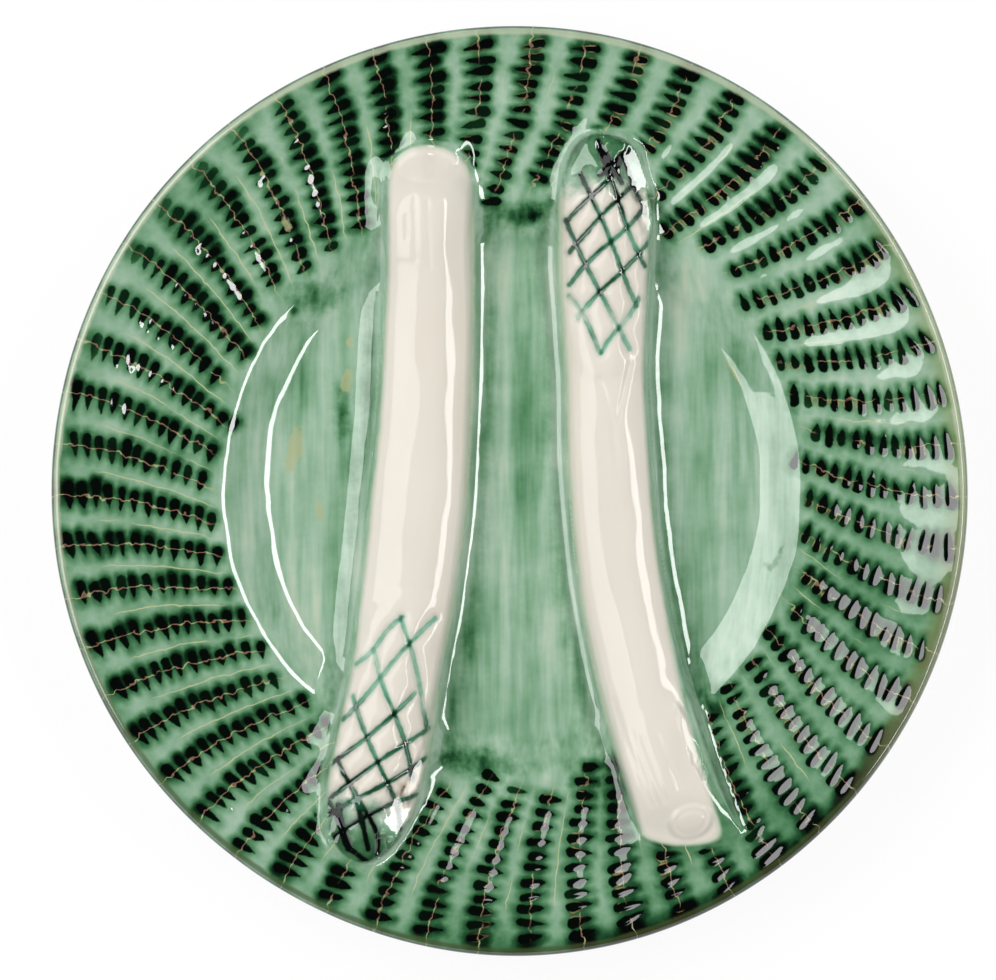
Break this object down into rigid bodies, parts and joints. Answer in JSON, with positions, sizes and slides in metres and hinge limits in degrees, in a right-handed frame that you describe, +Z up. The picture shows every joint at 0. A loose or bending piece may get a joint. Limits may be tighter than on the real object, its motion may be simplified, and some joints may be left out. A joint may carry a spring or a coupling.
{
  "type": "asparagus plate",
  "caption": "Round glazed earthenware plate with a notched rim, a foot ring and two raised asparagus spears across the well.",
  "frame": {"origin": "middle of the foot ring's flat face, on the surface that the plate stands on", "axes": "+Z up out of the well, +Y to the top of the picture, where the left spear's butt and the right spear's tip are, +X to its right"},
  "size_m": [0.25, 0.25, 0.0273],
  "materials": {
    "green_glaze": "glossy green glaze, pale where thin and near black where it pools in the notches",
    "cream_glaze": "glossy cream glaze with green in the scored lines",
    "bare_clay": "green glaze on the sides, wiped bare on the face that it stands on"
  },
  "bodies": {
    "root": {"plate_body": "green_glaze", "foot_ring": "bare_clay", "left_spear": "cream_glaze", "right_spear": "cream_glaze"}
  },
  "joints": []
}
